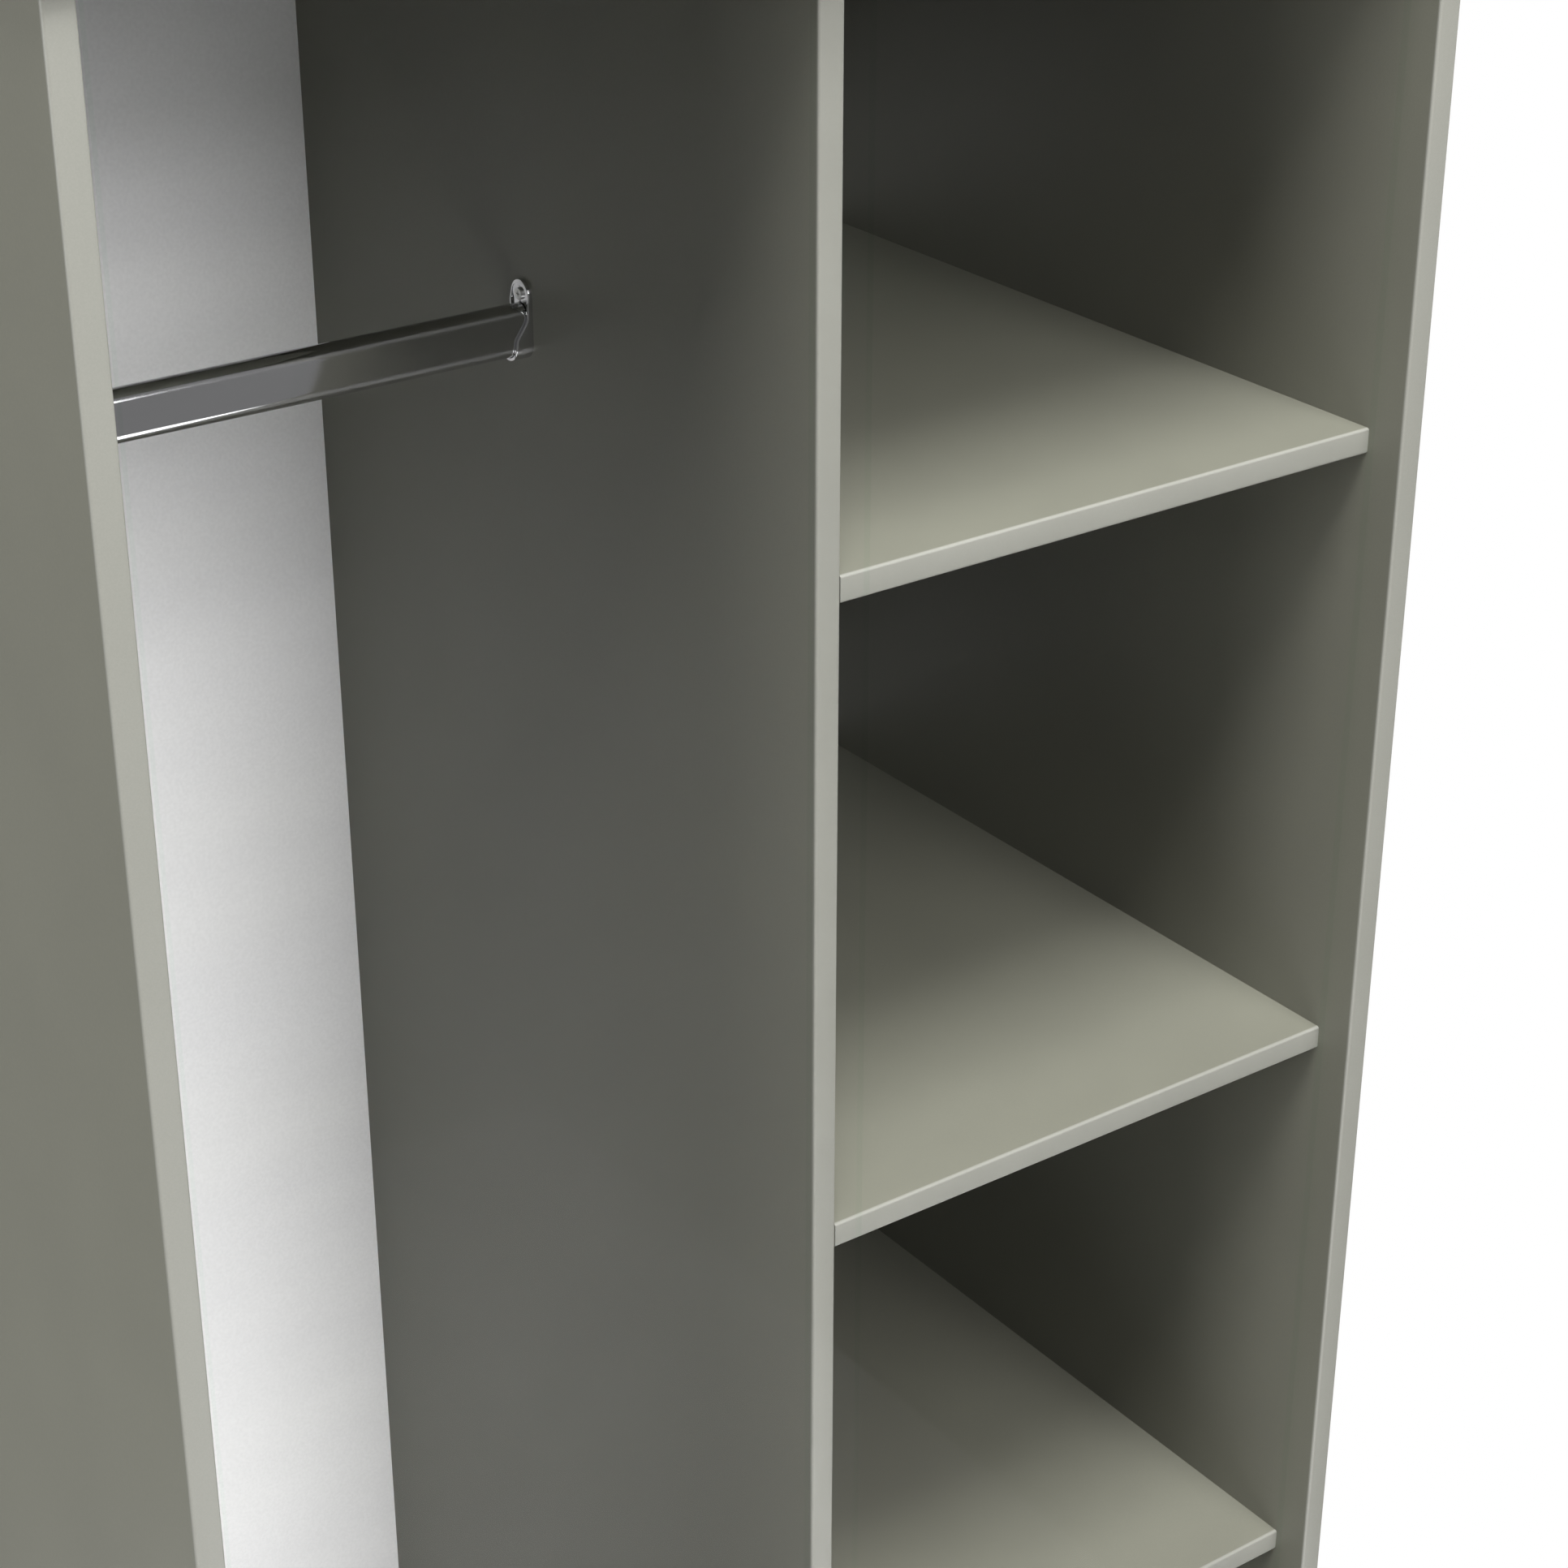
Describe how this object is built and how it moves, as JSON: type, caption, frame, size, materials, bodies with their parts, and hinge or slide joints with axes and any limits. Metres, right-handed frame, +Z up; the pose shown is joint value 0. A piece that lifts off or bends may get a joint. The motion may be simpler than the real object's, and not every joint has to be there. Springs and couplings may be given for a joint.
{
  "type": "sliding door wardrobe",
  "caption": "Tall open-shelved wardrobe with a hanging bay, a shelf bay and clear glass doors that slide past each other in a twin track.",
  "frame": {"origin": "centre of the base, on the floor", "axes": "+Z up, front towards -Y, +X to the right seen from the front"},
  "size_m": [0.801, 0.555, 1.98],
  "materials": {
    "board": "khaki grey melamine on particle board, satin",
    "edging": "khaki grey edge band with rounded arrises",
    "back_board": "white lacquered fibreboard, satin",
    "chrome": "bright chrome plating",
    "zinc": "zinc plated",
    "timber": "bare beech",
    "black_plastic": "moulded, matt",
    "rubber": "matt",
    "alloy": "silver anodised",
    "glass": "clear polished",
    "roller": "moulded acetal"
  },
  "bodies": {
    "carcass": {"side_left": "board", "side_right": "board", "top_panel": "board", "bottom_panel": "board", "divider": "board", "shelf_1": "board", "shelf_2": "board", "shelf_3": "board", "shelf_4": "board", "side_edge_left": "edging", "side_edge_right": "edging", "divider_edge": "edging", "shelf_edges": "edging", "bottom_edge": "edging", "top_edges": "edging", "back_left": "back_board", "back_right": "back_board", "plinth_front": "board", "plinth_rear": "board", "plinth_middle": "board", "hanging_rail": "chrome", "rail_socket_left": "chrome", "rail_socket_right": "chrome", "rail_screws": "zinc", "cam_locks": "zinc", "cam_bolts": "zinc", "cam_covers": "edging", "wood_dowels": "timber", "back_nails": "zinc", "glides": "black_plastic", "wall_brackets": "zinc", "bracket_screws": "zinc", "top_track": "alloy", "bottom_track": "alloy", "track_screws": "zinc", "door_buffers": "rubber"},
    "left_door": {"left_glass": "glass", "left_shoe": "alloy", "left_strip": "rubber", "left_end_caps": "black_plastic", "left_axles": "zinc", "left_guides": "black_plastic", "left_pull": "alloy"},
    "right_door": {"right_glass": "glass", "right_shoe": "alloy", "right_strip": "rubber", "right_end_caps": "black_plastic", "right_axles": "zinc", "right_guides": "black_plastic", "right_pull": "alloy"},
    "left_outer_roller": {"left_roller_outer": "roller"},
    "left_inner_roller": {"left_roller_inner": "roller"},
    "right_outer_roller": {"right_roller_outer": "roller"},
    "right_inner_roller": {"right_roller_inner": "roller"}
  },
  "joints": [
    {"name": "left_door_slide", "type": "slide", "parent": "carcass", "child": "left_door", "axis": [1, 0, 0], "range_m": [0, 0.3625]},
    {"name": "right_door_slide", "type": "slide", "parent": "carcass", "child": "right_door", "axis": [-1, 0, 0], "range_m": [0, 0.3625]},
    {"name": "left_outer_roller_spin", "type": "hinge", "parent": "left_door", "child": "left_outer_roller", "pos_m": [-0.3325, -0.26475, 0.0621], "axis": [0, 1, 0], "continuous": true},
    {"name": "left_inner_roller_spin", "type": "hinge", "parent": "left_door", "child": "left_inner_roller", "pos_m": [-0.03, -0.26475, 0.0621], "axis": [0, 1, 0], "continuous": true},
    {"name": "right_inner_roller_spin", "type": "hinge", "parent": "right_door", "child": "right_inner_roller", "pos_m": [0.03, -0.25325, 0.0621], "axis": [0, 1, 0], "continuous": true},
    {"name": "right_outer_roller_spin", "type": "hinge", "parent": "right_door", "child": "right_outer_roller", "pos_m": [0.3325, -0.25325, 0.0621], "axis": [0, 1, 0], "continuous": true}
  ],
  "couplings": [
    {"joint": "left_outer_roller_spin", "follows": "left_door_slide", "rad_per_m": 181.82},
    {"joint": "left_inner_roller_spin", "follows": "left_door_slide", "rad_per_m": 181.82},
    {"joint": "right_inner_roller_spin", "follows": "right_door_slide", "rad_per_m": -181.82},
    {"joint": "right_outer_roller_spin", "follows": "right_door_slide", "rad_per_m": -181.82}
  ]
}
